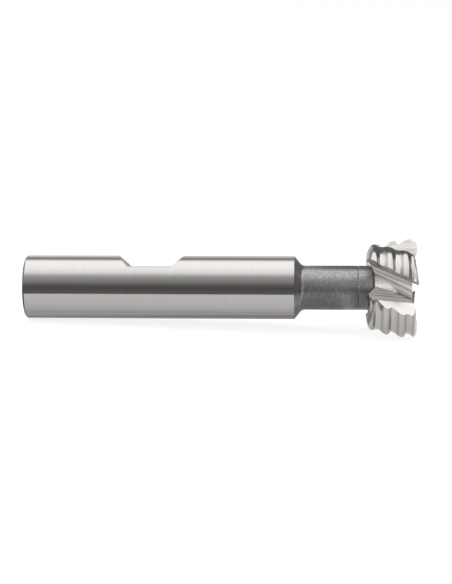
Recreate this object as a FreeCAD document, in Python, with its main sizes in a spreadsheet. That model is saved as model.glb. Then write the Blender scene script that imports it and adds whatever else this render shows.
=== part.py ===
import FreeCAD, Part
import math
import os

import Sketcher

# A solid T slot cutter, lying along X with the free end of its shank at the origin.
# Shank, cone and neck are turned, the shank has one clamping flat, and the head has
# helical teeth whose lands carry a waved roughing profile.
# Millimetres, +Z up, the cutter rolled as it lies at rest on two of its teeth.
# Angles round the tool are counted from -Y towards +Z.

# Driving dimensions: alias, value, meaning.
DIMENSIONS = (
    ("overall_length", 62.0, "shank end to cutting face"),
    ("shank_diameter", 10.0, "plain cylindrical shank"),
    ("shank_length", 42.7, "full diameter part of the shank"),
    ("shank_chamfer", 0.3, "edge break on the free end of the shank"),
    ("flat_centre", 20.0, "shank end to the middle of the clamping flat"),
    ("flat_length", 7.0, "floor of the clamping flat"),
    ("flat_depth", 1.75, "clamping flat below the top of the shank"),
    ("flat_ramp_angle", 45.0, "run-out at each end of the clamping flat"),
    ("flat_turn", 12.7, "clamping flat turned back from the top, round the axis"),
    ("neck_diameter", 7.0, "reduced neck behind the head"),
    ("cone_angle", 51.0, "cone between shank and neck, from the axis"),
    ("cone_fillet", 0.8, "radius where the cone meets the neck"),
    ("neck_line_depth", 0.06, "fine turned line round the neck"),
    ("neck_line_width", 0.2, "width of that line"),
    ("neck_line_setback", 1.3, "from that line to the head"),
    ("neck_overrun", 1.3, "neck left standing in the gullets past the head's back"),
    ("neck_end_bevel", 0.4, "bevel on the end of the neck in the gullets"),
    ("core_diameter", 6.0, "core inside the gullets"),
    ("head_diameter", 16.0, "over the wave crests of the cutting edges"),
    ("head_width", 8.0, "back face to cutting face"),
    ("corner_radius", 1.45, "rounded corners of the teeth"),
    ("blank_allowance", 0.1, "turned head over the ground crests"),
    ("back_rim", 0.1, "flat ring between the rounded corners and the back hollow"),
    ("back_dish", 1.2, "hollow of the back face at the neck"),
    ("face_dish", 0.95, "hollow in the middle of the cutting face"),
    ("face_dish_rim", 10.8, "diameter of that hollow at the cutting face"),
    ("face_dish_floor", 9.8, "diameter of its floor"),
    ("teeth", 4, "number of teeth"),
    ("edge_angle", 33.4, "first cutting edge at mid head"),
    ("edge_twist", 31.3, "turn of a cutting edge over the width of the head"),
    ("land_relief", 0.9, "fall of a land's radius from edge to heel"),
    ("land_span", 47.0, "angle of a land from edge to heel"),
    ("wave_pitch", 2.45, "pitch of the roughing waves"),
    ("wave_depth", 0.66, "depth of the roughing waves"),
    ("wave_fade", 0.5, "share of the wave depth lost from edge to heel"),
    ("wave_fall", 0.37, "share of the pitch from a crest to the next valley"),
    ("wave_crest", 3.7, "back face to the second crest of the first tooth"),
    ("face_relief", 6.0, "slope of the cutting face behind each edge"),
    ("back_relief", 6.5, "slope of the back face behind each edge"),
    ("relief_cut", 2.0, "height of the cuts that slope both end faces"),
    ("rake_foot_radius_back", 4.85, "inner end of the rake face, at the back"),
    ("rake_foot_turn_back", 30.3, "its angle past the edge at mid head"),
    ("rake_foot_radius_face", 4.9, "inner end of the rake face, at the cutting face"),
    ("rake_foot_turn_face", -16.7, "its angle past the edge at mid head"),
    ("root_radius_back", 2.2, "bottom of the gullet, at the back"),
    ("root_turn_back", 22.5, "its angle past the edge at mid head"),
    ("root_radius_face", 4.4, "bottom of the gullet, at the cutting face"),
    ("root_turn_face", -52.2, "its angle past the edge at mid head"),
    ("heel_foot_radius_back", 7.35, "inner end of the heel bevel, at the back"),
    ("heel_foot_turn_back", -34.4, "its angle past the edge at mid head"),
    ("heel_foot_radius_face", 4.7, "inner end of the heel bevel, at the cutting face"),
    ("heel_foot_turn_face", -52.0, "its angle past the edge at mid head"),
    ("heel_bevel_turn", -85.7, "direction of the heel bevel, past the edge at mid head"),
    ("margin", 0.5, "how far a cutting outline runs past the metal"),
)

# The waves are followed by this many sections in each pitch.
SECTIONS_PER_WAVE = 8
# A land runs on by these angles past its edge and its heel, inside the gullets.
LEAD_ANGLE = 3.0
HEEL_RUN_ON = 25.0
# A gullet's outline carries the rake face this many times as far out as the edge.
RAKE_RUN_OUT = 1.6
# An edge is found by its centre and radius when they are this close, in mm.
CLOSE_ENOUGH = 1e-4

HEAD_BACK = "(Dimensions.overall_length - Dimensions.head_width)"
HEAD_FACE = "Dimensions.overall_length"
SHANK_RADIUS = "Dimensions.shank_diameter / 2"
NECK_RADIUS = "Dimensions.neck_diameter / 2"
CORE_RADIUS = "Dimensions.core_diameter / 2"
HEAD_RADIUS = "Dimensions.head_diameter / 2"
FACE_EDGE_ANGLE = "(Dimensions.edge_angle - Dimensions.edge_twist / 2)"
BACK_EDGE_ANGLE = "(Dimensions.edge_angle + Dimensions.edge_twist / 2)"

os.makedirs("parts", exist_ok=True)
doc = FreeCAD.newDocument("TSlotCutter")
sheet = doc.addObject("Spreadsheet::Sheet", "Dimensions")
for row, (alias, value, meaning) in enumerate(DIMENSIONS, start=1):
    sheet.set(f"A{row}", meaning)
    sheet.set(f"B{row}", str(value))
    sheet.setAlias(f"B{row}", alias)
doc.recompute()


def size(alias):
    """Value of one driving dimension."""
    return float(getattr(sheet, alias))


def origin_feature(body, role):
    """One of a body's own origin planes or axes."""
    return next(item for item in body.Origin.OriginFeatures if item.Role == role)


def new_sketch(body, name, role):
    """Empty sketch on one of the body's origin planes."""
    sketch = body.newObject("Sketcher::SketchObject", name)
    sketch.AttachmentSupport = [(origin_feature(body, role), "")]
    sketch.MapMode = "FlatFace"
    return sketch


def pin_coordinate(sketch, line, kind, axis, expression, value):
    """Hold one coordinate of a line's start point at its expression."""
    if expression == "0":
        sketch.addConstraint(Sketcher.Constraint("PointOnObject", line, 1, axis))
        return
    index = sketch.addConstraint(Sketcher.Constraint(kind, -1, 1, line, 1, value))
    sketch.setExpression(f"Constraints[{index}]", expression)


def closed_outline(sketch, corners):
    """Closed outline of straight lines through corners given as two expressions."""
    points = [
        FreeCAD.Vector(float(sketch.evalExpression(x)), float(sketch.evalExpression(y)), 0)
        for x, y in corners
    ]
    following = points[1:] + points[:1]
    for start, end in zip(points, following):
        sketch.addGeometry(Part.LineSegment(start, end), False)
    for line, ((x, y), point) in enumerate(zip(corners, points)):
        after = (line + 1) % len(points)
        sketch.addConstraint(Sketcher.Constraint("Coincident", line, 2, after, 1))
        pin_coordinate(sketch, line, "DistanceX", -2, x, point.x)
        pin_coordinate(sketch, line, "DistanceY", -1, y, point.y)


def revolve(body, name, sketch):
    """Turn a sketch round the tool's axis."""
    feature = body.newObject("PartDesign::Revolution", name)
    feature.Profile = sketch
    feature.ReferenceAxis = (origin_feature(body, "X_Axis"), [""])
    feature.Angle = 360
    doc.recompute()
    return feature


def round_edge_at(feature, x, radius):
    """Name of the round edge that lies at x with that radius."""
    for number, edge in enumerate(feature.Shape.Edges, start=1):
        curve = edge.Curve
        if not isinstance(curve, Part.Circle):
            continue
        if max(abs(curve.Center.x - x), abs(curve.Radius - radius)) < CLOSE_ENOUGH:
            return f"Edge{number}"
    raise RuntimeError(f"no round edge at x = {x}")


def repeat_round_axis(body, name, feature):
    """Repeat a cut once for each tooth."""
    pattern = body.newObject("PartDesign::PolarPattern", name)
    pattern.Originals = [feature]
    pattern.Axis = (origin_feature(body, "X_Axis"), [""])
    pattern.Angle = 360
    pattern.Refine = False
    pattern.setExpression("Occurrences", "Dimensions.teeth")
    body.Tip = pattern
    doc.recompute()
    return pattern


def build_turned_body():
    """Shank, cone, neck and core in one turned bar, with its clamping flat."""
    body = doc.addObject("PartDesign::Body", "TurnedBar")
    cone_end = (
        "Dimensions.shank_length"
        " + (Dimensions.shank_diameter - Dimensions.neck_diameter) / 2"
        " / tan(Dimensions.cone_angle)"
    )
    line = f"{HEAD_BACK} - Dimensions.neck_line_setback"
    neck_end = f"{HEAD_BACK} + Dimensions.neck_overrun"
    core_end = f"{HEAD_FACE} - Dimensions.face_dish"
    profile = new_sketch(body, "BarProfile", "XZ_Plane")
    closed_outline(profile, (
        ("0", "0"),
        ("0", SHANK_RADIUS),
        ("Dimensions.shank_length", SHANK_RADIUS),
        (cone_end, NECK_RADIUS),
        (f"{line} - Dimensions.neck_line_width / 2", NECK_RADIUS),
        (line, f"{NECK_RADIUS} - Dimensions.neck_line_depth"),
        (f"{line} + Dimensions.neck_line_width / 2", NECK_RADIUS),
        (f"{neck_end} - Dimensions.neck_end_bevel", NECK_RADIUS),
        (neck_end, f"{NECK_RADIUS} - Dimensions.neck_end_bevel"),
        (neck_end, CORE_RADIUS),
        (core_end, CORE_RADIUS),
        (core_end, "0"),
    ))
    bar = revolve(body, "Bar", profile)

    fillet = body.newObject("PartDesign::Fillet", "ConeFillet")
    at = float(profile.evalExpression(cone_end))
    fillet.Base = (bar, [round_edge_at(bar, at, size("neck_diameter") / 2)])
    fillet.setExpression("Radius", "Dimensions.cone_fillet")
    doc.recompute()

    chamfer = body.newObject("PartDesign::Chamfer", "ShankChamfer")
    chamfer.Base = (fillet, [round_edge_at(fillet, 0, size("shank_diameter") / 2)])
    chamfer.setExpression("Size", "Dimensions.shank_chamfer")
    doc.recompute()

    floor = f"{SHANK_RADIUS} - Dimensions.flat_depth"
    top = f"{SHANK_RADIUS} + Dimensions.margin"
    half_floor = "Dimensions.flat_length / 2"
    half_top = (
        f"({half_floor} + (Dimensions.flat_depth + Dimensions.margin)"
        " / tan(Dimensions.flat_ramp_angle))"
    )
    outline = new_sketch(body, "FlatOutline", "XZ_Plane")
    outline.setExpression(
        "AttachmentOffset",
        "placement(vector(0; 0; 0); rotation(0; 0; -Dimensions.flat_turn))",
    )
    closed_outline(outline, (
        (f"Dimensions.flat_centre - {half_floor}", floor),
        (f"Dimensions.flat_centre + {half_floor}", floor),
        (f"Dimensions.flat_centre + {half_top}", top),
        (f"Dimensions.flat_centre - {half_top}", top),
    ))
    flat = body.newObject("PartDesign::Pocket", "ClampingFlat")
    flat.Profile = outline
    flat.SideType = "Symmetric"
    flat.setExpression("Length", "Dimensions.shank_diameter + 2 * Dimensions.margin")
    doc.recompute()
    return body


def polar(radius, angle):
    """Two expressions for a point at a radius and an angle in a cross-section."""
    return (f"(-({radius}) * cos({angle}))", f"(({radius}) * sin({angle}))")


def past(inner, outer, factor):
    """A point on the line from inner through outer, factor times as far out."""
    return tuple(
        f"({start} + {factor} * ({end} - {start}))" for start, end in zip(inner, outer)
    )


def gullet_corners(end, edge_angle):
    """Corners of a gullet's cross-section at one end of the head."""
    rake_foot, root, heel_foot = (
        polar(
            f"Dimensions.{name}_radius_{end}",
            f"Dimensions.edge_angle + Dimensions.{name}_turn_{end}",
        )
        for name in ("rake_foot", "root", "heel_foot")
    )
    rake_top = past(rake_foot, polar(HEAD_RADIUS, edge_angle), RAKE_RUN_OUT)
    along_bevel = polar(HEAD_RADIUS, "Dimensions.edge_angle + Dimensions.heel_bevel_turn")
    bevel_end = tuple(f"({foot} + {step})" for foot, step in zip(heel_foot, along_bevel))
    return (rake_top, rake_foot, root, heel_foot, bevel_end)


def stretched(corners, opposite):
    """Corners carried on past one end of the head, away from the opposite end."""
    factor = "(1 + Dimensions.margin / Dimensions.head_width)"
    return tuple(past(far, near, factor) for near, far in zip(corners, opposite))


def build_head_blank():
    """Turned head before its teeth are cut."""
    body = doc.addObject("PartDesign::Body", "HeadBlank")
    blank_radius = f"({HEAD_RADIUS} + Dimensions.blank_allowance)"
    profile = new_sketch(body, "HeadProfile", "XZ_Plane")
    closed_outline(profile, (
        (f"{HEAD_BACK} + Dimensions.back_dish", "0"),
        (f"{HEAD_BACK} + Dimensions.back_dish", NECK_RADIUS),
        (HEAD_BACK, f"{blank_radius} - Dimensions.corner_radius - Dimensions.back_rim"),
        (HEAD_BACK, blank_radius),
        (HEAD_FACE, blank_radius),
        (HEAD_FACE, "Dimensions.face_dish_rim / 2"),
        (f"{HEAD_FACE} - Dimensions.face_dish", "Dimensions.face_dish_floor / 2"),
        (f"{HEAD_FACE} - Dimensions.face_dish", "0"),
    ))
    blank = revolve(body, "Blank", profile)

    corners = body.newObject("PartDesign::Fillet", "ToothCorners")
    radius = size("head_diameter") / 2 + size("blank_allowance")
    back = size("overall_length") - size("head_width")
    corners.Base = (blank, [
        round_edge_at(blank, back, radius),
        round_edge_at(blank, size("overall_length"), radius),
    ])
    corners.setExpression("Radius", "Dimensions.corner_radius")
    doc.recompute()
    return body


def cut_teeth(waved_blank):
    """Gullets and the relief of both end faces, cut from the waved blank."""
    body = doc.addObject("PartDesign::Body", "Head")
    body.BaseFeature = waved_blank
    doc.recompute()

    back_corners = gullet_corners("back", BACK_EDGE_ANGLE)
    face_corners = gullet_corners("face", FACE_EDGE_ANGLE)
    back_section = new_sketch(body, "GulletBack", "YZ_Plane")
    back_section.setExpression("AttachmentOffset.Base.z", f"{HEAD_BACK} - Dimensions.margin")
    closed_outline(back_section, stretched(back_corners, face_corners))
    face_section = new_sketch(body, "GulletFace", "YZ_Plane")
    face_section.setExpression("AttachmentOffset.Base.z", f"{HEAD_FACE} + Dimensions.margin")
    closed_outline(face_section, stretched(face_corners, back_corners))
    gullet = body.newObject("PartDesign::SubtractiveLoft", "Gullet")
    gullet.Profile = back_section
    gullet.Sections = [(face_section, [""])]
    gullet.Ruled = True
    gullet.Refine = False
    doc.recompute()
    repeat_round_axis(body, "Gullets", gullet)

    reach = f"{HEAD_RADIUS} + 2 * Dimensions.margin"
    for name, x, edge_angle, tilt, outward in (
        ("FaceRelief", HEAD_FACE, FACE_EDGE_ANGLE, "Dimensions.face_relief", True),
        ("BackRelief", HEAD_BACK, BACK_EDGE_ANGLE, "-Dimensions.back_relief", False),
    ):
        outline = new_sketch(body, f"{name}Outline", "YZ_Plane")
        outline.setExpression(
            "AttachmentOffset",
            f"placement(vector(0; 0; {x}); rotation(180 - {edge_angle}; 0; {tilt}))",
        )
        closed_outline(outline, (
            ("Dimensions.margin", "Dimensions.margin"),
            (reach, "Dimensions.margin"),
            (reach, f"-{HEAD_RADIUS}"),
            ("Dimensions.margin", f"-{HEAD_RADIUS}"),
        ))
        relief = body.newObject("PartDesign::Pocket", name)
        relief.Profile = outline
        relief.Reversed = outward
        relief.setExpression("Length", "Dimensions.relief_cut")
        doc.recompute()
        repeat_round_axis(body, f"{name}s", relief)
    return body


def wave(distance):
    """Depth below the crest line, from 0 to 1, at a distance past a crest."""
    share = (distance / size("wave_pitch")) % 1.0
    fall = size("wave_fall")
    if share < fall:
        return (1 - math.cos(math.pi * share / fall)) / 2
    return (1 + math.cos(math.pi * (share - fall) / (1 - fall))) / 2


def land_point(x, tooth, past_edge):
    """Point on one tooth's land, at an angle past its cutting edge."""
    teeth = size("teeth")
    back = size("overall_length") - size("head_width")
    middle = size("overall_length") - size("head_width") / 2
    turn = size("edge_twist") * (middle - x) / size("head_width")
    angle = size("edge_angle") + turn + 360 * tooth / teeth + past_edge
    crest = back + size("wave_crest") + size("wave_pitch") * tooth / teeth
    share = max(past_edge, 0) / size("land_span")
    depth = size("wave_depth") * (1 - size("wave_fade") * share)
    fall = size("land_relief") * share
    radius = size("head_diameter") / 2 - fall - depth * wave(x - crest)
    angle = math.radians(angle)
    return FreeCAD.Vector(x, -radius * math.cos(angle), radius * math.sin(angle))


def land_section(x):
    """Closed cross-section through all the lands, joined by straight lines."""
    teeth = int(size("teeth"))
    last = size("land_span") + HEEL_RUN_ON
    angles = (-LEAD_ANGLE, (last - LEAD_ANGLE) / 2, last)
    arcs = [[land_point(x, tooth, angle) for angle in angles] for tooth in range(teeth)]
    edges = []
    for arc, following in zip(arcs, arcs[1:] + arcs[:1]):
        edges.append(Part.Arc(*arc).toShape())
        edges.append(Part.LineSegment(arc[-1], following[0]).toShape())
    return Part.Wire(edges)


def build_lands():
    """Solid bounded by the waved and relieved lands of all the teeth."""
    first = size("overall_length") - size("head_width") - size("margin")
    last = size("overall_length") + size("margin")
    steps = math.ceil((last - first) * SECTIONS_PER_WAVE / size("wave_pitch"))
    sections = [land_section(first + (last - first) * step / steps) for step in range(steps + 1)]
    lands = doc.addObject("Part::Feature", "Lands")
    lands.Shape = Part.makeLoft(sections, True, False)
    return lands


turned = build_turned_body()
waved_blank = doc.addObject("Part::Common", "WavedBlank")
waved_blank.Base = build_head_blank()
waved_blank.Tool = build_lands()
doc.recompute()
head = cut_teeth(waved_blank)

cutter = doc.addObject("Part::Fuse", "Cutter")
cutter.Label = "t_slot_cutter"
cutter.Base = turned
cutter.Tool = head
cutter.Refine = True
doc.recompute()

for item in doc.Objects:
    if "Invalid" in item.State or "Error" in item.State:
        raise RuntimeError(f"{item.Name}: {item.State}")

for item in (turned, waved_blank, head, cutter):
    if item.Shape.isNull() or not item.Shape.isValid() or len(item.Shape.Solids) != 1:
        raise RuntimeError(f"{item.Name}: not one valid solid")

shape = cutter.Shape
shape.exportStep(f"parts/{cutter.Label}.step")
print(cutter.Label, f"volume {shape.Volume:.1f} mm3, faces {len(shape.Faces)}")
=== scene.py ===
"""Looks of a solid T slot cutter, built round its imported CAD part.

The cutter lies along X with the free end of its shank at the origin. Lengths are in
millimetres until a mesh is made, and in metres in the scene. Angles round the tool are
counted in degrees from -Y towards +Z.
"""

import logging
import math
from dataclasses import dataclass, field
from enum import Enum

import bmesh
import bpy
import numpy as np
from mathutils import Matrix, Vector
from mathutils.geometry import delaunay_2d_cdt


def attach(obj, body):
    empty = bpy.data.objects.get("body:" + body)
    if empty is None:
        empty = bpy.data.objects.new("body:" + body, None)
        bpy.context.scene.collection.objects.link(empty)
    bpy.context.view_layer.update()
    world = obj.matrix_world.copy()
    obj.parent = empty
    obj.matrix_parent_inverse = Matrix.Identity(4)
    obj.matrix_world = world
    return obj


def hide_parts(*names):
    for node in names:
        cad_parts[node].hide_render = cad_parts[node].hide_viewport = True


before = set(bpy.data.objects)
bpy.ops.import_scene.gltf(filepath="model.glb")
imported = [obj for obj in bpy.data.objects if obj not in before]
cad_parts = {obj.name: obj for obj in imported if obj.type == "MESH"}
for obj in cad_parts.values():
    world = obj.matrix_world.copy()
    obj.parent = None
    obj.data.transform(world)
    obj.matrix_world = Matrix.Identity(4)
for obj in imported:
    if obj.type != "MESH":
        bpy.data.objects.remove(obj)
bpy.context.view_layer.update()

MM = 0.001
NODE = "t_slot_cutter"
# The cutter lies with this roll: the photograph's level is turned by it round the tool.
ROLL = 12.7
# Edges that turn more than this many degrees stay sharp.
CREASE = 28
# Brightness of the room to the right, in the tent and on the floor below it.
RIGHT_LEVEL = 0.45
# Guards against lengths of zero and against rounding.
TINY = 1e-12
SLACK = 1e-6
# Sockets of a mix node by number, because Blender gives several the same name.
MIX_FACTOR, NUMBER_FIRST, NUMBER_SECOND, COLOUR_FIRST, COLOUR_SECOND = 0, 2, 3, 6, 7
NUMBER_MIXED, COLOUR_MIXED = 0, 2

log = logging.getLogger("cutter")


def linear(colour: str) -> tuple[float, float, float, float]:
    """Turn an sRGB hex colour into linear light.

    Args:
        colour: six hex digits after a hash.

    Returns:
        Red, green, blue and an alpha of one.
    """
    shares = [int(colour[i:i + 2], 16) / 255 for i in (1, 3, 5)]
    light = [s / 12.92 if s <= 0.04045 else ((s + 0.055) / 1.055) ** 2.4 for s in shares]
    return (*light, 1.0)


def add_node(
    tree: bpy.types.NodeTree,
    kind: str,
    settings: dict | None = None,
    links: dict | None = None,
) -> bpy.types.Node:
    """Add one node with its settings and links.

    Args:
        tree: node tree that gets the node.
        kind: Blender's name of the node type.
        settings: properties, input values, or the stops of a colour ramp.
        links: output sockets by the name or number of the input they feed.

    Returns:
        The new node.
    """
    node = tree.nodes.new(kind)
    for name, value in (settings or {}).items():
        if name == "stops":
            ramp = node.color_ramp
            while len(ramp.elements) < len(value):
                ramp.elements.new(0.5)
            for element, (position, colour) in zip(ramp.elements, value):
                element.position = position
                element.color = colour
        elif isinstance(name, str) and hasattr(node, name):
            setattr(node, name, value)
        else:
            node.inputs[name].default_value = value
    for name, source in (links or {}).items():
        tree.links.new(source, node.inputs[name])
    return node


def grey(level: float) -> tuple[float, float, float, float]:
    """Neutral colour of a linear level."""
    return (level, level, level, 1.0)


def polar(radius: np.ndarray | float, degrees: np.ndarray | float) -> np.ndarray:
    """Points in a cross-section from their radius and angle round the tool.

    Args:
        radius: distance from the axis.
        degrees: angle from -Y towards +Z.

    Returns:
        Y and Z in the last axis.
    """
    angle = np.radians(degrees)
    return np.stack([-radius * np.cos(angle), radius * np.sin(angle)], axis=-1)


def radius_and_angle(points: np.ndarray) -> tuple[np.ndarray, np.ndarray]:
    """Radius and angle in degrees of points in a cross-section.

    Args:
        points: Y and Z in the last axis.

    Returns:
        The radii and the angles round the tool.
    """
    y, z = points[..., 0], points[..., 1]
    return np.hypot(y, z), np.degrees(np.arctan2(z, -y))


class Surface(Enum):
    """The finishes that the cutter's faces can have, in the order of its slots."""

    GROUND = 0
    SEAT = 1
    SATIN = 2
    LAND = 3
    FLUTE = 4
    FACE = 5
    RAKE = 6
    HEEL = 7
    CORE = 8


@dataclass(frozen=True)
class Finish:
    """A steel surface: its colour, its gloss and the marks its last tool left.

    The marks run along V of the lay map and repeat across U, both in millimetres. Real
    grinding lines stand a few hundredths of a millimetre apart, too fine for the
    picture, so the marks are drawn 0.12 to 0.5 mm apart.
    """

    name: str
    colour: str
    dark: str
    roughness: float
    rough_spread: float
    mark_spacing: float
    mark_length: float
    mark_depth: float
    grain: float = 0.0
    grain_size: float = 0.2
    contrast: tuple[float, float] = (0.35, 0.75)

    def material(self) -> bpy.types.Material:
        """Make the node material of this finish.

        Returns:
            A metal whose colour, roughness and bump come from its tool marks.
        """
        made = bpy.data.materials.new(self.name)
        made.use_nodes = True
        tree = made.node_tree
        shader = tree.nodes["Principled BSDF"]
        shader.inputs["Metallic"].default_value = 1.0

        lay = add_node(tree, "ShaderNodeUVMap", {"uv_map": "lay"})
        stretch = add_node(
            tree, "ShaderNodeMapping",
            {"Scale": (1 / self.mark_spacing, 1 / self.mark_length, 1.0)},
            {"Vector": lay.outputs["UV"]},
        )
        marks = add_node(
            tree, "ShaderNodeTexNoise",
            {"Scale": 1.0, "Detail": 3.0, "Roughness": 0.6},
            {"Vector": stretch.outputs["Vector"]},
        )
        place = add_node(tree, "ShaderNodeTexCoord")
        specks = add_node(
            tree, "ShaderNodeTexNoise",
            {"Scale": 1 / (self.grain_size * MM), "Detail": 2.0, "Roughness": 0.7},
            {"Vector": place.outputs["Object"]},
        )
        pattern = add_node(
            tree, "ShaderNodeMix",
            {"data_type": "FLOAT", "Factor": self.grain},
            {NUMBER_FIRST: marks.outputs["Fac"], NUMBER_SECOND: specks.outputs["Fac"]},
        ).outputs[NUMBER_MIXED]
        tone = add_node(
            tree, "ShaderNodeValToRGB",
            {"stops": tuple(zip(self.contrast, (linear(self.dark), linear(self.colour))))},
            {"Fac": pattern},
        )
        # The tint attribute holds painted shade and darkens the base colour by it.
        tint = add_node(tree, "ShaderNodeAttribute", {"attribute_name": "tint"})
        tinted = add_node(
            tree, "ShaderNodeVectorMath", {"operation": "SCALE"},
            {0: tone.outputs["Color"], "Scale": tint.outputs["Fac"]},
        )
        tree.links.new(tinted.outputs[0], shader.inputs["Base Color"])
        rough = add_node(
            tree, "ShaderNodeMapRange",
            {
                "From Min": 0.3, "From Max": 0.7,
                "To Min": self.roughness + self.rough_spread,
                "To Max": self.roughness - self.rough_spread,
            },
            {"Value": pattern},
        )
        tree.links.new(rough.outputs["Result"], shader.inputs["Roughness"])
        bump = add_node(
            tree, "ShaderNodeBump",
            {"Strength": 1.0, "Distance": self.mark_depth * MM},
            {"Height": pattern},
        )
        tree.links.new(bump.outputs["Normal"], shader.inputs["Normal"])
        return made


FINISHES = {
    # Cylindrically ground steel: even grey mirror with hair-fine rings, as the
    # photograph's shank shows its surroundings in straight, sharply bounded bands.
    Surface.GROUND: Finish(
        "high_speed_steel_ground", "#B3B1B0", "#AFACAA", roughness=0.085, rough_spread=0.004,
        mark_spacing=0.15, mark_length=60.0, mark_depth=0.00002,
    ),
    # Milled clamping flat: a little duller than the shank, so that it reads as a plain
    # pale band, with marks across the shank.
    Surface.SEAT: Finish(
        "high_speed_steel_milled_flat", "#BAB7B3", "#A29F9B", roughness=0.2, rough_spread=0.04,
        mark_spacing=0.16, mark_length=12.0, mark_depth=0.0004,
    ),
    # Blasted neck and cone: dark and grainy, it spreads its highlights wide.
    Surface.SATIN: Finish(
        "high_speed_steel_blasted", "#A3A1A0", "#787675", roughness=0.36, rough_spread=0.06,
        mark_spacing=0.5, mark_length=3.0, mark_depth=0.0018, grain=0.8, grain_size=0.28,
    ),
    # Relief-ground lands: bright, with fine lines along the cut, so that the waves flash.
    Surface.LAND: Finish(
        "high_speed_steel_relief_ground", "#BAB7B3", "#A6A3A0", roughness=0.13,
        rough_spread=0.03, mark_spacing=0.12, mark_length=9.0, mark_depth=0.0003,
    ),
    # Ground gullets: matt, with grey streaks along the flute.
    Surface.FLUTE: Finish(
        "high_speed_steel_flute_ground", "#F4F2F0", "#ACAAA8", roughness=0.5,
        rough_spread=0.06, mark_spacing=0.42, mark_length=11.0, mark_depth=0.0024,
        contrast=(0.36, 0.64),
    ),
    # Turned and ground end faces: a soft grey sheen that moves round the middle.
    Surface.FACE: Finish(
        "high_speed_steel_face_ground", "#B4B1AD", "#8E8B88", roughness=0.24,
        rough_spread=0.05, mark_spacing=0.16, mark_length=8.0, mark_depth=0.0006,
    ),
    # Rake faces: an even mid grey, with a coarser grind along the edge.
    Surface.RAKE: Finish(
        "high_speed_steel_rake_ground", "#D2D0CE", "#B2B0AE", roughness=0.4, rough_spread=0.05,
        mark_spacing=0.25, mark_length=7.0, mark_depth=0.0014,
    ),
    # Heel bevels: ground, without visible marks; their near-white colour is a painted highlight.
    Surface.HEEL: Finish(
        "high_speed_steel_heel_ground", "#DEDCD9", "#CECCC9", roughness=0.3, rough_spread=0.02,
        mark_spacing=0.2, mark_length=9.0, mark_depth=0.0002,
    ),
    # Core between the teeth: blasted; its near-white colour is a painted highlight, a pale patch at the
    # foot of the gullets.
    Surface.CORE: Finish(
        "high_speed_steel_core_bright", "#F6F5F3", "#D8D7D5", roughness=0.45,
        rough_spread=0.05, mark_spacing=0.3, mark_length=3.0, mark_depth=0.001,
    ),
}
MATERIALS = {surface: finish.material() for surface, finish in FINISHES.items()}


@dataclass
class Skin:
    """Collects patches of surface and turns them into one closed mesh."""

    points: list = field(default_factory=list)
    faces: list = field(default_factory=list)
    lay: list = field(default_factory=list)
    surfaces: list = field(default_factory=list)
    tints: list = field(default_factory=list)
    count: int = 0

    def add_grid(
        self, points: np.ndarray, lay: np.ndarray, surface: Surface,
        tint: np.ndarray | None = None,
    ) -> None:
        """Add a grid of points as four-sided faces.

        Args:
            points: X, Y and Z in millimetres, of shape rows, columns, 3.
            lay: position across and along the tool marks, of shape rows, columns, 2.
            surface: finish of the patch.
            tint: share of the finish's light that each point keeps, 1 where not given.
        """
        rows, columns = points.shape[:2]
        numbers = np.arange(rows * columns).reshape(rows, columns)
        quads = np.stack(
            [numbers[:-1, :-1], numbers[1:, :-1], numbers[1:, 1:], numbers[:-1, 1:]],
            axis=-1,
        ).reshape(-1, 4)
        flat_tint = None if tint is None else tint.reshape(-1)
        self.add_faces(points.reshape(-1, 3), quads, lay.reshape(-1, 2), surface, flat_tint)

    def add_faces(
        self, points: np.ndarray, faces: np.ndarray, lay: np.ndarray, surface: Surface,
        tint: np.ndarray | None = None,
    ) -> None:
        """Add faces of equal corner count.

        Args:
            points: X, Y and Z in millimetres.
            faces: numbers of the points round each face.
            lay: position across and along the tool marks, for each point.
            surface: finish of the faces.
            tint: share of the finish's light that each point keeps, 1 where not given.
        """
        self.tints.append(np.ones(len(points)) if tint is None else tint)
        self.points.append(points)
        self.faces.extend((faces + self.count).tolist())
        self.lay.append(lay)
        self.surfaces.extend([surface.value] * len(faces))
        self.count += len(points)

    def build(self, name: str, crease: float, weld: float = 0.0001) -> bpy.types.Object:
        """Make the mesh object in metres, welded, smooth and dressed.

        Args:
            name: name of the piece.
            crease: edges that turn more than this many degrees stay sharp.
            weld: points closer than this many millimetres become one.

        Returns:
            The object, riding on the cutter's body.
        """
        mesh = bpy.data.meshes.new(name)
        points = np.concatenate(self.points) * MM
        mesh.from_pydata(points.tolist(), [], self.faces)
        lay = np.concatenate(self.lay)
        corners = np.empty(len(mesh.loops), dtype=np.int32)
        mesh.loops.foreach_get("vertex_index", corners)
        uv = mesh.uv_layers.new(name="lay")
        uv.data.foreach_set("uv", lay[corners].astype(np.float32).ravel())
        tint = mesh.attributes.new("tint", "FLOAT", "CORNER")
        tint.data.foreach_set("value", np.concatenate(self.tints)[corners].astype(np.float32))
        for surface in Surface:
            mesh.materials.append(MATERIALS[surface])
        mesh.polygons.foreach_set("material_index", self.surfaces)
        piece = bpy.data.objects.new(name, mesh)
        bpy.context.scene.collection.objects.link(piece)

        welded = bmesh.new()
        welded.from_mesh(mesh)
        bmesh.ops.remove_doubles(welded, verts=welded.verts, dist=weld * MM)
        bmesh.ops.dissolve_degenerate(welded, edges=welded.edges, dist=weld * MM / 2)
        bmesh.ops.recalc_face_normals(welded, faces=welded.faces)
        open_edges = sum(not edge.is_manifold for edge in welded.edges)
        welded.to_mesh(mesh)
        welded.free()
        log.info("%s: %d open edges", name, open_edges)
        mesh.polygons.foreach_set("use_smooth", [True] * len(mesh.polygons))
        mesh.set_sharp_from_angle(angle=math.radians(crease))
        mesh.update()

        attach(piece, "root")
        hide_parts(NODE)
        return piece


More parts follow.
